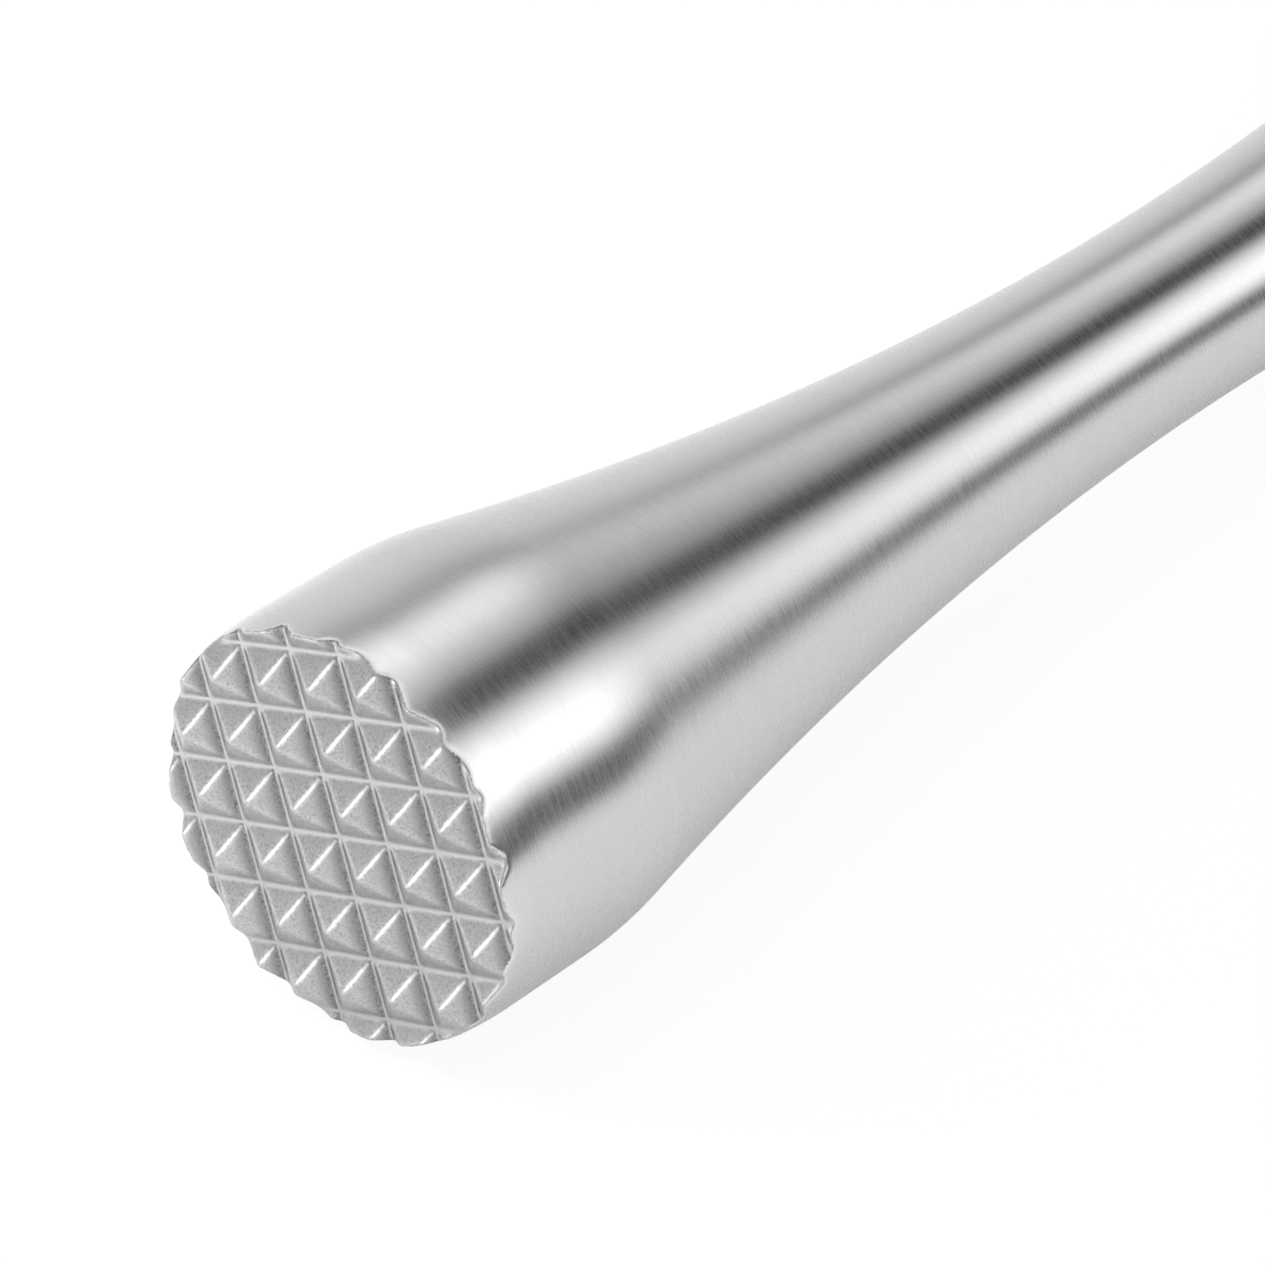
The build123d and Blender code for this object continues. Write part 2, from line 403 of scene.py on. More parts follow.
# %% [markdown]
# The casting is turned after it is cast, so the lathe cuts through the outer pyramids and leaves
# them as slices along the rim. An intersection with a turned bar does the same. The bar stands
# upright here, because the sheet still lies flat with its pyramids pointing up.

# %% Cutting the sheet round
BLANK_FRONT_AT = -UNWORN_HEIGHT - 1.0
BLANK_BACK_AT = 2.0

blank_section = [(BLANK_BACK_AT, 0)]
blank_section += along_skin(BLANK_BACK_AT, BLANK_FRONT_AT, 6)
blank_section += [(BLANK_FRONT_AT, 0)]
blank = turn("blank", blank_section)
select_only(blank)
blank.rotation_euler = (-pi / 2, 0, 0)  # the face's side of the bar now points up
bpy.ops.object.transform_apply(rotation=True)
apply_modifier(sheet, "BOOLEAN", object=blank, operation="INTERSECT", solver="EXACT")
bpy.data.objects.remove(blank)
print(f"round face: {triangles_in(sheet)} triangles")

# %% [markdown]
# Nothing on a casting is truly sharp. Tumbling rounds every ridge, tip and rim, and leaves the
# valleys as they are, because its stones don't reach them. A fine voxel remesh makes
# an even mesh that can take this wear, and since its voxel divides the pitch exactly, every pyramid
# comes out alike. A vertex group then says how exposed each vertex is, and a Smooth modifier wears
# the mesh down by that much.

# %% Wear
VOXELS_PER_PITCH = 34
SMOOTHING = 0.5  # of the way to its neighbours, which a vertex moves each time
FIRST_SMOOTHING = 3
WEAR_SMOOTHING = 30
RIDGE_CORE = 0.5  # mm on both sides of a ridge, where it wears fully
RIDGE_REACH = 1.3  # mm on both sides of a ridge, where wear ends
VALLEY_KEPT = 0.2  # mm from the middle of a valley, where nothing wears
VALLEY_LEFT = 0.9  # mm from the middle of a valley, where its shelter ends
CROSSING_REACH = 1.2  # mm from where two valleys cross, which the mould leaves filled and round
CROSSING_WEAR = 0.8
RIM_REACH = 0.9  # mm in from the turned surface and down from the valleys
RIM_CORE = 0.3  # mm in from the turned surface, where the rim wears fully

apply_modifier(sheet, "REMESH", mode="VOXEL", voxel_size=TOOTH_PITCH / VOXELS_PER_PITCH * MM)
apply_modifier(sheet, "SMOOTH", factor=SMOOTHING, iterations=FIRST_SMOOTHING)
print(f"after the remesh: {triangles_in(sheet)} triangles")


def ease(value, start, end):
    """0 before start, 1 after end, and a smooth step between."""
    t = min(1.0, max(0.0, (value - start) / (end - start)))
    return t * t * (3 - 2 * t)


def from_valley(place):
    """Distance of a place in mm from the nearest valley that runs across it."""
    return abs((place + TOOTH_PITCH / 2) % TOOTH_PITCH - TOOTH_PITCH / 2)


def exposure(x, y, height):
    """How much a point of the upright sheet is rounded, from 0 to 1, with lengths in mm."""
    sideways, along = from_valley(x), from_valley(y)
    on_ridge = 1 - ease(abs(sideways - along), RIDGE_CORE, RIDGE_REACH)
    above_valley = ease(min(sideways, along), VALLEY_KEPT, VALLEY_LEFT)
    at_crossing = CROSSING_WEAR * (1 - ease(max(sideways, along), VALLEY_KEPT, CROSSING_REACH))
    near_side = ease(hypot(x, y), FACE_RADIUS - RIM_REACH, FACE_RADIUS - RIM_CORE)
    near_front = ease(height, -RIM_REACH, 0)
    return max(on_ridge * above_valley, at_crossing, near_side * near_front)


worn = sheet.vertex_groups.new(name="worn")
for vertex in sheet.data.vertices:
    x, y, height = vertex.co / MM
    worn.add([vertex.index], exposure(x, y, height), "REPLACE")
apply_modifier(
    sheet, "SMOOTH", factor=SMOOTHING, iterations=WEAR_SMOOTHING, vertex_group=worn.name
)
select_only(sheet)
bpy.ops.object.vertex_group_remove(all=True)
tallest = max(vertex.co.z for vertex in sheet.data.vertices) / MM
print(f"tips stand {tallest:.2f} mm above the valleys once they are worn")

# %% [markdown]
# The sheet is then turned to the roll of its rows and stood up, and its back is cut off. The turned
# side is set back on the outline, because a reflection shows the smallest dent in it, but only
# where wear hasn't rounded the rim.

# %% Standing the face up and truing its side
SIDE_CUT_AT = 1.3
CUT_WITHIN = 0.001  # mm, much finer than the mesh, so that the cut leaves one clean ring
TRUE_FROM_AT = 0.1
TRUE_AFTER_AT = 0.8

select_only(sheet)
sheet.rotation_euler = (0, 0, ROW_ROLL)
bpy.ops.object.transform_apply(rotation=True)
sheet.rotation_euler = (pi / 2, 0, 0)  # pyramids towards -Y
bpy.ops.object.transform_apply(rotation=True)

bpy.ops.object.mode_set(mode="EDIT")
bpy.ops.mesh.select_all(action="SELECT")
bpy.ops.mesh.bisect(
    plane_co=(0, SIDE_CUT_AT * MM, 0),
    plane_no=(0, 1, 0),
    clear_outer=True,
    threshold=CUT_WITHIN * MM,
)
bpy.ops.object.mode_set(mode="OBJECT")

trued = 0
for vertex in sheet.data.vertices:
    at = vertex.co.y / MM
    radius = hypot(vertex.co.x, vertex.co.z) / MM
    if at > TRUE_FROM_AT and radius > FACE_RADIUS - RIM_REACH:
        fit = 1 + (skin_radius(at) / radius - 1) * ease(at, TRUE_FROM_AT, TRUE_AFTER_AT)
        vertex.co.x *= fit
        vertex.co.z *= fit
        trued += 1
print(f"{trued} vertices of the side set on the outline")

# %% [markdown]
# The rest of the head is turned like the other pieces: the plain band, the ground edge for the
# weld, the spigot inside the body and the hollow back. It joins the pyramid face where the two
# open rings meet, and a bridge between them closes the head.

# %% The rest of the head, and the bridge
HEAD_SPIGOT_RADIUS = bore_radius(HEAD_SEAM_AT) - SPIGOT_CLEARANCE
HEAD_HOLLOW = HEAD_SPIGOT_RADIUS - SPIGOT_WALL
SPIGOT_TIP_AT = HEAD_SEAM_AT + HEAD_SPIGOT
BRIDGE_WIDTH = 0.3  # mm between the two open rings
FINE_TURNS = 4 * TURNS  # a ring about as fine as the one that it is bridged to

head_section = along_skin(SIDE_CUT_AT + BRIDGE_WIDTH, HEAD_STARTS_AT, 6)
head_section += [(HEAD_SEAM_AT - HALF_WELD, HEAD_RADIUS), (HEAD_SEAM_AT, HEAD_RADIUS - WELD_DEPTH)]
head_section += [(HEAD_SEAM_AT, HEAD_SPIGOT_RADIUS), (SPIGOT_TIP_AT, HEAD_SPIGOT_RADIUS)]
head_section += [(SPIGOT_TIP_AT, HEAD_HOLLOW), (HEAD_FLOOR_AT, HEAD_HOLLOW), (HEAD_FLOOR_AT, 0)]
head_back = turn("head_back", head_section, steps=FINE_TURNS)

cast_head = sheet
select_only(cast_head)
head_back.select_set(True)
bpy.ops.object.join()
bpy.ops.object.mode_set(mode="EDIT")
bpy.ops.mesh.select_mode(type="EDGE")
bpy.ops.mesh.select_all(action="DESELECT")
bpy.ops.mesh.select_non_manifold()
bpy.ops.mesh.bridge_edge_loops()
bpy.ops.object.mode_set(mode="OBJECT")
lay_down(cast_head)

# %% [markdown]
# ## Stainless steel, brushed on the lathe
#
# Stainless steel is a slightly warm grey metal. Abrasive belts were held against this one while it
# turned, so its scratches run round the axis, each a few millimetres long and much less than one
# wide. Such a surface spreads a reflection along the axis and keeps it narrower around it, which
# is what anisotropy does when the tangent points along the axis.
#
# Every pattern reads Object coordinates, which a Mapping node turns into lathe coordinates in
# millimetres: X and Z across the axis, and Y along it. The same node serves the cast face.

# %% Nodes and colours
def add_node(tree, kind, values=(), wires=(), **settings):
    """Add a node, with its settings, the numbers on its sockets, and what its sockets are fed by."""
    made = tree.nodes.new(kind)
    for name, value in settings.items():
        setattr(made, name, value)
    for socket, value in dict(values).items():
        made.inputs[socket].default_value = value
    for socket, source in dict(wires).items():
        tree.links.new(source, made.inputs[socket])
    return made


def linear(hex_colour):
    """sRGB hex to the linear colour that sockets take."""
    channels = [int(hex_colour[k : k + 2], 16) / 255 for k in (1, 3, 5)]
    return [c / 12.92 if c <= 0.04045 else ((c + 0.055) / 1.055) ** 2.4 for c in channels] + [1.0]


def empty_tree(owner):
    """The node tree of a material or a world, cleared of the nodes it starts with."""
    owner.use_nodes = True
    owner.node_tree.nodes.clear()
    return owner.node_tree


def start_steel(name):
    """A new material, its node tree, and the socket that gives lathe coordinates in mm."""
    material = bpy.data.materials.new(name)
    tree = empty_tree(material)
    place = add_node(tree, "ShaderNodeTexCoord")
    lathe = add_node(
        tree,
        "ShaderNodeMapping",
        {"Location": FACE_CENTRE, "Rotation": (-DIP, 0, 0), "Scale": (MM, MM, MM)},
        {"Vector": place.outputs["Object"]},
        vector_type="TEXTURE",
    )
    return material, tree, lathe.outputs["Vector"]


# %% Brushed stainless steel
SCRATCH_LENGTH = 2.2  # mm round the axis
SCRATCH_WIDTH = 0.17  # mm along the axis
SCRATCH_DEPTH = 0.0062  # mm
TRACK_LENGTH = 14.0  # mm round the axis
TRACK_WIDTH = 1.6  # mm along the axis, the slow change from one pass of the belt to the next
NOISE_LOW = 0.3  # a noise runs from 0 to 1, but nearly all of it lies between these two
NOISE_HIGH = 0.7
SATIN = 0.25  # roughness of the smoothest scratch
COARSE_SATIN = 0.30
ANISOTROPY = 0.8  # from 0, a round glint, to 1, the longest streak along the axis

brushed_stainless, tree, lathe = start_steel("brushed_stainless")
scratch_place = add_node(
    tree,
    "ShaderNodeVectorMath",
    {1: (1 / SCRATCH_LENGTH, 1 / SCRATCH_WIDTH, 1 / SCRATCH_LENGTH)},
    {0: lathe},
    operation="MULTIPLY",
)
scratches = add_node(
    tree,
    "ShaderNodeTexNoise",
    {"Scale": 1.0, "Detail": 2.0, "Roughness": 0.6},
    {"Vector": scratch_place.outputs[0]},
)
track_place = add_node(
    tree,
    "ShaderNodeVectorMath",
    {1: (1 / TRACK_LENGTH, 1 / TRACK_WIDTH, 1 / TRACK_LENGTH)},
    {0: lathe},
    operation="MULTIPLY",
)
tracks = add_node(
    tree,
    "ShaderNodeTexNoise",
    {"Scale": 1.0, "Detail": 2.0, "Roughness": 0.5},
    {"Vector": track_place.outputs[0]},
)
sheen = add_node(
    tree,
    "ShaderNodeMapRange",
    {"From Min": NOISE_LOW, "From Max": NOISE_HIGH, "To Min": SATIN, "To Max": COARSE_SATIN},
    {"Value": scratches.outputs["Fac"]},
)
tone = add_node(
    tree,
    "ShaderNodeMapRange",
    {"From Min": NOISE_LOW, "From Max": NOISE_HIGH, "To Min": 0.35, "To Max": 0.65},
    {"Value": tracks.outputs["Fac"]},
)
steel = add_node(
    tree,
    "ShaderNodeMix",
    {"A": linear("#C8C8C8"), "B": linear("#CECECE")},
    {"Factor": tone.outputs[0]},
    data_type="RGBA",
)
relief = add_node(
    tree,
    "ShaderNodeBump",
    {"Strength": 1.0, "Distance": SCRATCH_DEPTH * MM},
    {"Height": scratches.outputs["Fac"]},
)
grain_way = add_node(tree, "ShaderNodeCombineXYZ", {"X": AXIS.x, "Y": AXIS.y, "Z": AXIS.z})
surface = add_node(
    tree,
    "ShaderNodeBsdfPrincipled",
    {"Metallic": 1.0, "Anisotropic": ANISOTROPY},
    {
        "Base Color": steel.outputs["Result"],
        "Roughness": sheen.outputs[0],
        "Normal": relief.outputs[0],
        "Tangent": grain_way.outputs[0],
    },
)
add_node(tree, "ShaderNodeOutputMaterial", wires={"Surface": surface.outputs[0]})
print("brushed stainless:", len(tree.nodes), "nodes")

# %% [markdown]
# ## Stainless steel, as cast
#
# The face is left as it came out of the mould: duller than the brushed side, with the fine grain of
# the sand or ceramic on it. Tumbling has polished its ridges a little, and the valley floors are
# smooth because the mould was; their colour is also painted lighter, as a painted highlight. Dark
# spots of scale stay low on the flanks, and painted shade darkens the foot of the +X flank of each
# tooth, in the crease beside the valley.
#
# The pattern has to know where a point is on its pyramid. Turning the lathe coordinates by the roll
# of the rows and folding them at half the pitch gives the distance from the nearest valley in both
# directions. The smaller distance is the height, and where the two are equal there is a ridge.

# %% Cast stainless steel: where a point is on its pyramid
RIDGE_TOP = 0.1  # mm off the ridge, where it is fully polished
RIDGE_WIDTH = 0.45  # mm off the ridge, where its polish ends
FOOT_WIDTH = 1.3  # mm of the +X flank of a tooth that is darkened with painted shade
CORNER_AT = 0.22  # mm from the middle of a valley to the foot of a pyramid
VALLEY_FLOOR = 0.04  # mm from the middle of a valley, where it is fully polished

cast_stainless, tree, lathe = start_steel("cast_stainless")
rows = add_node(
    tree,
    "ShaderNodeVectorRotate",
    {"Axis": (0, 1, 0), "Angle": ROW_ROLL},
    {"Vector": lathe},
    rotation_type="AXIS_ANGLE",
)
row_place = add_node(tree, "ShaderNodeSeparateXYZ", wires={"Vector": rows.outputs[0]})
valley_gaps = []
for letter in ("X", "Z"):
    gap = add_node(
        tree,
        "ShaderNodeMath",
        {1: TOOTH_PITCH / 2},
        {0: row_place.outputs[letter]},
        operation="PINGPONG",
    )
    valley_gaps.append(gap.outputs[0])
both_gaps = {0: valley_gaps[0], 1: valley_gaps[1]}
rise = add_node(tree, "ShaderNodeMath", wires=both_gaps, operation="MINIMUM")
off_ridge = add_node(tree, "ShaderNodeMath", wires=both_gaps, operation="SUBTRACT")
ridge_gap = add_node(
    tree, "ShaderNodeMath", wires={0: off_ridge.outputs[0]}, operation="ABSOLUTE"
)
past_valley = add_node(
    tree,
    "ShaderNodeMath",
    {1: TOOTH_PITCH},
    {0: row_place.outputs["X"]},
    operation="FLOORED_MODULO",
)
print("a pyramid's parts are found with", len(tree.nodes), "nodes")

# %% Cast stainless steel: ridge, valley and foot
ridge = add_node(
    tree,
    "ShaderNodeMapRange",
    {"From Min": RIDGE_WIDTH, "From Max": RIDGE_TOP},
    {"Value": ridge_gap.outputs[0]},
    interpolation_type="SMOOTHSTEP",
)
in_valley = add_node(
    tree,
    "ShaderNodeMapRange",
    {"From Min": CORNER_AT, "From Max": VALLEY_FLOOR},
    {"Value": rise.outputs[0]},
    interpolation_type="SMOOTHSTEP",
)
# Painted shade: the colour darkens over the +X flank towards the crease of the next valley.
foot = add_node(
    tree,
    "ShaderNodeMapRange",
    {"From Min": TOOTH_PITCH - FOOT_WIDTH, "From Max": TOOTH_PITCH - CORNER_AT},
    {"Value": past_valley.outputs[0]},
    interpolation_type="SMOOTHSTEP",
)
polish = add_node(
    tree,
    "ShaderNodeMath",
    wires={0: ridge.outputs[0], 1: in_valley.outputs[0]},
    operation="MAXIMUM",
)
# The darker feet are painted shade in the crease beside each valley.
print(f"polished within {RIDGE_WIDTH} mm of a ridge, grimy over {FOOT_WIDTH} mm of a foot")

# %% [markdown]
# Two noises roughen this. The fine one is the grain of the mould, which mottles the metal and gives
# it relief. The other makes blotches, and where a blotch is strong, or a bit less strong but low on
# a flank, it shows as a spot of dark scale. The same blotches break up the painted shade at the
# feet.

# %% Cast stainless steel: grain, scale and painted shade at the feet
GRAIN = 0.22  # mm, drawn coarse, because a finer grain would not show
GRAIN_DEPTH = 0.03  # mm
SCALE_SPOT = 0.22  # mm
LOW_BELOW = 1.5  # mm from the middle of a valley, where scale starts to gather
LOWEST_AT = 0.3  # mm from the middle of a valley, where it is as thick as it gets
LOW_EXTRA = 0.13  # added to the blotches there
SPOT_STARTS = 0.57  # strength of a blotch that begins to show as scale
SPOT_FULL = 0.70
SCALE_SHARE = 0.75  # how much of the metal's colour the darkest spot hides
SPOTS_ABOVE = 0.25  # the share of the spots left on the flanks above and below a tooth's tip
FOOT_SHADE_LEAST = 0.3  # the share of the painted shade at the feet left where the blotches are weakest

grain = add_node(
    tree,
    "ShaderNodeTexNoise",
    {"Scale": 1 / GRAIN, "Detail": 3.0, "Roughness": 0.6},
    {"Vector": lathe},
)
blotches = add_node(
    tree,
    "ShaderNodeTexNoise",
    {"Scale": 1 / SCALE_SPOT, "Detail": 4.0, "Roughness": 0.75},
    {"Vector": lathe},
)
low_down = add_node(
    tree,
    "ShaderNodeMapRange",
    {"From Min": LOW_BELOW, "From Max": LOWEST_AT, "To Max": LOW_EXTRA},
    {"Value": rise.outputs[0]},
)
near_valley = add_node(
    tree,
    "ShaderNodeMath",
    wires={0: blotches.outputs["Fac"], 1: low_down.outputs[0]},
    operation="ADD",
)
scale_spots = add_node(
    tree,
    "ShaderNodeMapRange",
    {"From Min": SPOT_STARTS, "From Max": SPOT_FULL, "To Max": SCALE_SHARE},
    {"Value": near_valley.outputs[0]},
)
side_flank = add_node(
    tree,
    "ShaderNodeMapRange",
    {"From Min": 0.2, "From Max": -0.6, "To Min": SPOTS_ABOVE},
    {"Value": off_ridge.outputs[0]},
)
side_spots = add_node(
    tree,
    "ShaderNodeMath",
    wires={0: scale_spots.outputs[0], 1: side_flank.outputs[0]},
    operation="MULTIPLY",
)
patches = add_node(
    tree,
    "ShaderNodeMapRange",
    {"From Min": 0.35, "From Max": 0.6, "To Min": FOOT_SHADE_LEAST},
    {"Value": blotches.outputs["Fac"]},
)
broken_foot_shade = add_node(
    tree,
    "ShaderNodeMath",
    wires={0: foot.outputs[0], 1: patches.outputs[0]},
    operation="MULTIPLY",
)
# The real spots of scale and the painted shade at the feet, whichever is stronger.
scale_and_foot_shade = add_node(
    tree,
    "ShaderNodeMath",
    wires={0: side_spots.outputs[0], 1: broken_foot_shade.outputs[0]},
    operation="MAXIMUM",
)
print(f"grain {GRAIN} mm, spots of scale {SCALE_SPOT} mm")

# %% Cast stainless steel: colour
# The dark colour of the scale spots and also of the painted shade at the feet.
STAIN_AND_SHADE = "#5E5E5D"

mottle = add_node(
    tree,
    "ShaderNodeMapRange",
    {"From Min": 0.35, "From Max": 0.65},
    {"Value": grain.outputs["Fac"]},
)
clean = add_node(
    tree,
    "ShaderNodeMix",
    {"A": linear("#9A9A9A"), "B": linear("#BEBEBE")},
    {"Factor": mottle.outputs[0]},
    data_type="RGBA",
)
stain_and_foot_shade = add_node(
    tree,
    "ShaderNodeMix",
    {"B": linear(STAIN_AND_SHADE)},
    {"Factor": scale_and_foot_shade.outputs[0], "A": clean.outputs["Result"]},
    data_type="RGBA",
)
# Painted highlight: the valley floors get a lighter colour than the flanks, so that the valley lines
# read brighter.
valley_highlight_colour = add_node(
    tree,
    "ShaderNodeMix",
    {"A": linear("#BEBEBE"), "B": linear("#949494")},
    {"Factor": blotches.outputs["Fac"]},
    data_type="RGBA",
)
cast_colour = add_node(
    tree,
    "ShaderNodeMix",
    wires={
        "Factor": in_valley.outputs[0],
        "A": stain_and_foot_shade.outputs["Result"],
        "B": valley_highlight_colour.outputs["Result"],
    },
    data_type="RGBA",
)
print("stain, linear:", [round(channel, 3) for channel in linear(STAIN_AND_SHADE)[:3]])

# %% Cast stainless steel: surface
DULL = 0.46
POLISHED = 0.36
GRAIN_LEFT = 0.1  # of the grain's depth, where tumbling has polished it

dullness = add_node(
    tree,
    "ShaderNodeMapRange",
    {"To Min": DULL, "To Max": POLISHED},
    {"Value": polish.outputs[0]},
)
grain_strength = add_node(
    tree,
    "ShaderNodeMapRange",
    {"To Min": 1.0, "To Max": GRAIN_LEFT},
    {"Value": polish.outputs[0]},
)
relief = add_node(
    tree,
    "ShaderNodeBump",
    {"Distance": GRAIN_DEPTH * MM},
    {"Height": grain.outputs["Fac"], "Strength": grain_strength.outputs[0]},
)
surface = add_node(
    tree,
    "ShaderNodeBsdfPrincipled",
    {"Metallic": 1.0},
    {
        "Base Color": cast_colour.outputs["Result"],
        "Roughness": dullness.outputs[0],
        "Normal": relief.outputs[0],
    },
)
add_node(tree, "ShaderNodeOutputMaterial", wires={"Surface": surface.outputs[0]})
print("cast stainless:", len(tree.nodes), "nodes")

# %% [markdown]
# ## Which finish goes where
#
# All the turned pieces are brushed. The head has both finishes, and the border between them is the
# rim: a face of its mesh that looks outwards from the axis was turned and brushed, and one that
# looks forwards or into a valley is as cast.

# %% Finishes on the pieces
CAST_BEFORE_AT = 1.0
OUTWARDS_ABOVE = 0.8  # cosine between a face's normal and straight out from the axis

for piece in (necked_body, head_bead, cap_bead, domed_cap, cast_head):
    piece.data.materials.append(brushed_stainless)
cast_head.data.materials.append(cast_stainless)

cast_faces = 0
for face in cast_head.data.polygons:
    offset = face.center - FACE_CENTRE
    at = offset.dot(AXIS) / MM
    outwards = offset - AXIS * offset.dot(AXIS)
    if at < CAST_BEFORE_AT and face.normal.dot(outwards.normalized()) < OUTWARDS_ABOVE:
        face.material_index = 1
        cast_faces += 1
print(f"{cast_faces} of {len(cast_head.data.polygons)} faces of the head are as cast")

# %% [markdown]
# ## What each piece stands for
#
# Each visual piece takes the place of one part of the imported model and rides on the muddler's one
# body.

# %% Pieces and the model's nodes
for piece, node, slot in (
    (cast_head, "head_casting", "cast_steel"),
    (head_bead, "head_weld", "weld_steel"),
    (necked_body, "body_shell", "brushed_steel"),
    (cap_bead, "cap_weld", "weld_steel"),
    (domed_cap, "end_cap", "brushed_steel"),
):
    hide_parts(node)
    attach(piece, "root")
    low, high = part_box(node)
    print(piece.name, "stands for", node, [round(v / MM, 1) for v in (*low, *high)])

# %% [markdown]
# ## The floor
#
# The muddler lies on a matt white table, which is overexposed: the eye sees it almost burnt out,
# with hardly a shadow, while the steel reflects it as the light grey that it really is. A mix that
# asks whether a ray comes from the camera gives both.

# %% Floor
FLOOR_SIZE = 8.0
FLOOR_GLOW = 0.21  # light that comes through the table from below
SHADOW_SHARE = 0.09  # how much of the real table is left in what the camera sees

table = add_square("pale_floor", FLOOR_SIZE)
matt_white = bpy.data.materials.new("matt_white_laminate")
tree = empty_tree(matt_white)
laminate = add_node(
    tree, "ShaderNodeBsdfDiffuse", {"Color": linear("#C2C2C2"), "Roughness": 0.0}
)
glow = add_node(tree, "ShaderNodeEmission", {"Strength": FLOOR_GLOW})
light_table = add_node(
    tree, "ShaderNodeAddShader", wires={0: laminate.outputs[0], 1: glow.outputs[0]}
)
bleached = add_node(
    tree, "ShaderNodeEmission", {"Color": linear("#FFFFFF"), "Strength": 1.0}
)
seen_by = add_node(tree, "ShaderNodeLightPath")
bleach_share = add_node(
    tree,
    "ShaderNodeMath",
    {1: 1 - SHADOW_SHARE},
    {0: seen_by.outputs["Is Camera Ray"]},
    operation="MULTIPLY",
)
paper = add_node(
    tree,
    "ShaderNodeMixShader",
    wires={0: bleach_share.outputs[0], 1: light_table.outputs[0], 2: bleached.outputs[0]},
)
add_node(tree, "ShaderNodeOutputMaterial", wires={"Surface": paper.outputs[0]})
table.data.materials.append(matt_white)
print(f"floor {FLOOR_SIZE} m wide")

# %% [markdown]
# ## The lamps
#
# A wide ceiling lamp lights the table, and a small lamp brightens it in front of the head, where
# the valleys and tips of the face look. Both are kept out of the reflections, so that the bands on
# the steel come from the tent alone.

# %% Ceiling lamp and table lamp
def add_lamp(name, shape, size, power, aim_from, aim_at):
    """A soft lamp that the camera can't see."""
    lamp_data = bpy.data.lights.new(name, "AREA")
    lamp_data.shape = shape
    lamp_data.size = size
    lamp_data.energy = power
    lamp = bpy.data.objects.new(name, lamp_data)
    lamp.location = aim_from
    lamp.rotation_euler = (Vector(aim_from) - Vector(aim_at)).to_track_quat("Z", "Y").to_euler()
    lamp.visible_camera = False
    bpy.context.collection.objects.link(lamp)
    print(f"{name}: {size} m wide, {power} W")
    return lamp


CEILING = (0, 0, 1.6)
BESIDE_HEAD = (-0.09, -0.16, 0.09)
FRONT_OF_HEAD = (-0.03, -0.135, 0.0)

ceiling_lamp = add_lamp(
    "ceiling_lamp", "SQUARE", size=2.4, power=24.0, aim_from=CEILING, aim_at=(0, 0, 0)
)
table_lamp = add_lamp(
    "table_lamp", "DISK", size=0.04, power=0.2, aim_from=BESIDE_HEAD, aim_at=FRONT_OF_HEAD
)
for lamp in (ceiling_lamp, table_lamp):
    lamp.visible_glossy = False

# %% [markdown]
# One softbox stands straight ahead of the face, a little above the table. Its reflection runs along
# the ridges of the pyramids and makes them sparkle, while their flanks look past it.

# %% Softbox ahead of the face
SOFTBOX_WAY = Vector((-0.17, -0.98, 0.13)).normalized()
SOFTBOX_DISTANCE = 0.9

softbox_place = FACE_CENTRE + SOFTBOX_WAY * SOFTBOX_DISTANCE
add_lamp("softbox", "DISK", size=0.6, power=3.6, aim_from=softbox_place, aim_at=FACE_CENTRE)

# %% [markdown]
# ## The light tent
#
# Metal shows its surroundings more than its own colour, so lighting a muddler means arranging what
# it reflects. A tent of white cloth hangs around it, with a dark gap over the top, a bright side
# near the camera and a dark edge where that side meets the table. The world plays the tent here.
# Its brightness depends on the angle around the tool, which gives clean bands along the body.
#
# Near the head the cloth hangs a few degrees further round, and two more strips hang there. The
# straight side of the head sends its rays less far along Y than the narrowing body does, and the
# world tells them apart by that. Angles count in degrees from the horizon on the left, over the
# top, to the horizon on the right.

# %% Shades of the cloth
TENT = (
    (0, 0.97),
    (21, 0.84),
    (31, 0.60),
    (37, 0.42),
    (43, 0.46),
    (51, 0.60),
    (64, 0.50),
    (76, 0.45),
    (87, 0.32),
    (97, 0.02),
    (108, 0.0),
    (116, 0.27),
    (125, 0.71),
    (144, 1.14),
    (154, 0.95),
    (163, 0.78),
    (168, 0.64),
    (172, 0.06),
    (180, 0.0),
)
STRIPS = (
    (0, 0.0),
    (42, 0.0),
    (50, 0.50),
    (60, 1.12),
    (68, 1.15),
    (77, 0.72),
    (86, 0.40),
    (95, 0.10),
    (102, 0.0),
    (111, 0.0),
    (115, 0.45),
    (122, 0.88),
    (133, 1.30),
    (149, 1.35),
    (156, 0.66),
    (163, 0.58),
    (168, 0.15),
    (172, 0.0),
)


HALF_RING = 180.0  # degrees from one horizon over the top to the other


def ring_of_cloth(tree, turned, shades):
    """A color ramp that reads how far round the ring a ray points, from 0 to 1 for half a turn."""
    ramp = add_node(tree, "ShaderNodeValToRGB", wires={"Fac": turned})
    ramp.color_ramp.interpolation = "EASE"
    stops = ramp.color_ramp.elements
    for index, (angle, brightness) in enumerate(shades):
        place = angle / HALF_RING
        stop = stops[index] if index < 2 else stops.new(place)  # a ramp starts with two
        stop.position = place
        stop.color = (brightness, brightness, brightness, 1)
    return ramp.outputs["Color"]


print(f"light tent: {len(TENT)} shades of cloth and {len(STRIPS)} in the strips")

# %% Which way a ray points
ALONG_BODY = 0.82  # Y of a ray, above which it sees neither strips nor turned cloth
ALONG_HEAD = 0.65  # Y of a ray, below which it sees both in full
CLOTH_TURN = 10.0  # degrees further round that the cloth hangs near the head
TURN_FULL = 155.0  # degrees, up to where the cloth is turned fully
TURN_ENDS = 168.0  # degrees, where the cloth is tied to the table and can't turn

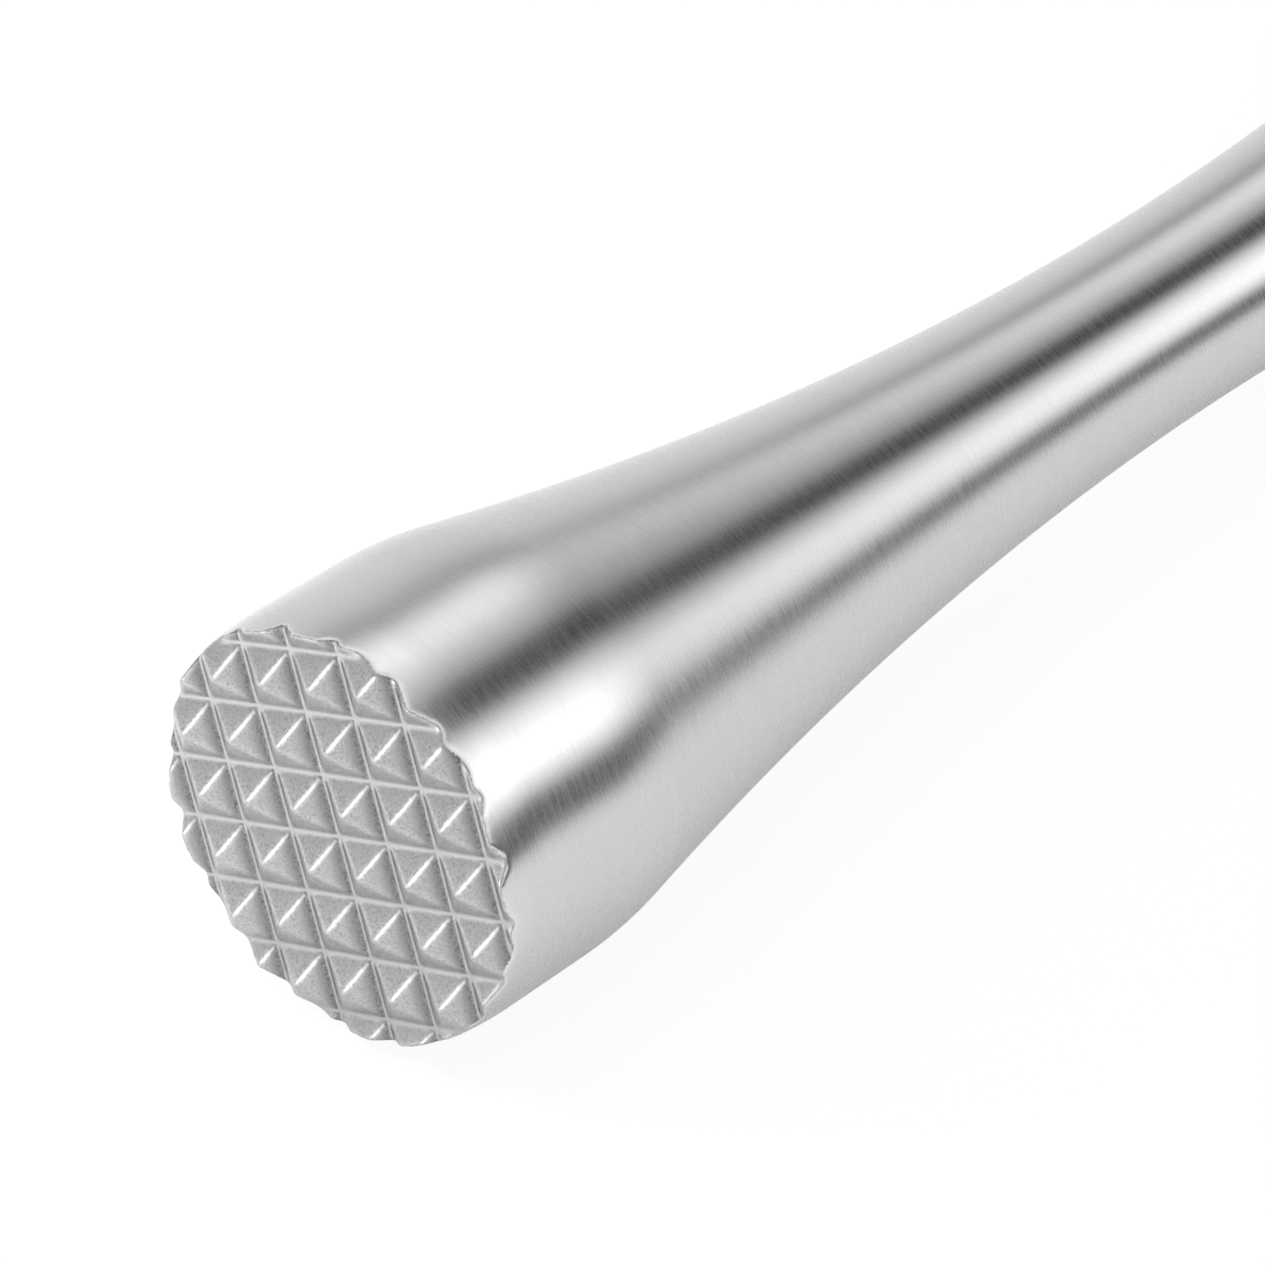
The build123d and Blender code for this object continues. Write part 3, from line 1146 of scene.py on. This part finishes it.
light_tent = bpy.data.worlds.new("light_tent")
bpy.context.scene.world = light_tent
tree = empty_tree(light_tent)
ray = add_node(tree, "ShaderNodeTexCoord")
ray_way = add_node(tree, "ShaderNodeSeparateXYZ", wires={"Vector": ray.outputs["Generated"]})
leftwards = add_node(
    tree, "ShaderNodeMath", {1: -1.0}, {0: ray_way.outputs["X"]}, operation="MULTIPLY"
)
around = add_node(
    tree,
    "ShaderNodeMath",
    wires={0: ray_way.outputs["Z"], 1: leftwards.outputs[0]},
    operation="ARCTAN2",
)
half_turn = add_node(
    tree, "ShaderNodeMath", {1: pi}, {0: around.outputs[0]}, operation="DIVIDE", use_clamp=True
)
near_head = add_node(
    tree,
    "ShaderNodeMapRange",
    {"From Min": ALONG_BODY, "From Max": ALONG_HEAD},
    {"Value": ray_way.outputs["Y"]},
)
above_table = add_node(
    tree,
    "ShaderNodeMapRange",
    {
        "From Min": TURN_ENDS / HALF_RING,
        "From Max": TURN_FULL / HALF_RING,
        "To Max": CLOTH_TURN / HALF_RING,
    },
    {"Value": half_turn.outputs[0]},
)
cloth_turn = add_node(
    tree,
    "ShaderNodeMath",
    wires={0: near_head.outputs[0], 1: above_table.outputs[0]},
    operation="MULTIPLY",
)
on_cloth = add_node(
    tree,
    "ShaderNodeMath",
    wires={0: half_turn.outputs[0], 1: cloth_turn.outputs[0]},
    operation="SUBTRACT",
)
print("a ray's way is found with", len(tree.nodes), "nodes")

# %% [markdown]
# The tent is open in front, where the face looks. The flanks of the pyramids see a plain grey wall
# there, and only worn edges look level with the face, at the bright mouth of the tent. A ray that
# comes from the camera itself sees a white backdrop instead of all this.

# %% Light tent
FRONT_OF_TENT = 0.70
MOUTH_OF_TENT = 1.3
SIDES_END = 0.40  # Y of a ray, below which it begins to see the mouth
MOUTH_ENDS = -0.1  # Y of a ray, below which it begins to see the front
FRONT_FULL = -0.5

tent = ring_of_cloth(tree, on_cloth.outputs[0], TENT)
strips = add_node(
    tree,
    "ShaderNodeVectorMath",
    wires={0: ring_of_cloth(tree, on_cloth.outputs[0], STRIPS), 1: near_head.outputs[0]},
    operation="MULTIPLY",
)
sides = add_node(
    tree, "ShaderNodeVectorMath", wires={0: tent, 1: strips.outputs[0]}, operation="ADD"
)
towards_front = add_node(
    tree,
    "ShaderNodeMapRange",
    {"From Min": SIDES_END, "From Max": 0.0},
    {"Value": ray_way.outputs["Y"]},
    interpolation_type="SMOOTHSTEP",
)
front = add_node(
    tree,
    "ShaderNodeMapRange",
    {
        "From Min": MOUTH_ENDS,
        "From Max": FRONT_FULL,
        "To Min": MOUTH_OF_TENT,
        "To Max": FRONT_OF_TENT,
    },
    {"Value": ray_way.outputs["Y"]},
    interpolation_type="SMOOTHSTEP",
)
all_round = add_node(
    tree,
    "ShaderNodeMix",
    wires={"Factor": towards_front.outputs[0], "A": sides.outputs[0], "B": front.outputs[0]},
    data_type="VECTOR",
)
tent_light = add_node(
    tree, "ShaderNodeBackground", wires={"Color": all_round.outputs["Result"]}
)
backdrop = add_node(tree, "ShaderNodeBackground", {"Color": linear("#FDFDFD")})
seen_by = add_node(tree, "ShaderNodeLightPath")
either = add_node(
    tree,
    "ShaderNodeMixShader",
    wires={0: seen_by.outputs["Is Camera Ray"], 1: tent_light.outputs[0], 2: backdrop.outputs[0]},
)
add_node(tree, "ShaderNodeOutputWorld", wires={"Surface": either.outputs[0]})
print("light tent:", len(tree.nodes), "nodes")

# %% [markdown]
# A low grey card stands on the table along the right side of the tool. It puts the thin dark line
# into the lower half of the steel, which parts the bright strip from the reflection of the table.
# Only reflections see the card.

# %% Grey card
CARD_AWAY = 0.15
CARD_HEIGHT = 0.03
CARD_LIFT = 0.0005
CARD_FRONT = -0.16
CARD_BACK = 0.45
CARD_SHADE = 0.03

card = add_square("grey_card", 1)
card.scale = (CARD_BACK - CARD_FRONT, CARD_HEIGHT, 1)
card.rotation_euler = (pi / 2, 0, pi / 2)
card.location = (CARD_AWAY, (CARD_FRONT + CARD_BACK) / 2, CARD_HEIGHT / 2 + CARD_LIFT)
bpy.ops.object.transform_apply(location=True, rotation=True, scale=True)
grey_board = bpy.data.materials.new("grey_board")
tree = empty_tree(grey_board)
board = add_node(tree, "ShaderNodeEmission", {"Color": (1, 1, 1, 1), "Strength": CARD_SHADE})
add_node(tree, "ShaderNodeOutputMaterial", wires={"Surface": board.outputs[0]})
card.data.materials.append(grey_board)
card.visible_camera = False
card.visible_diffuse = False
card.visible_shadow = False
print("grey card", [round(v / MM) for v in card.dimensions], "mm")

# %% [markdown]
# ## Colours as they are
#
# The Standard view keeps whites white, as a plain product picture needs.

# %% View and the end
bpy.context.scene.view_settings.view_transform = "Standard"
bpy.context.scene.view_settings.look = "None"
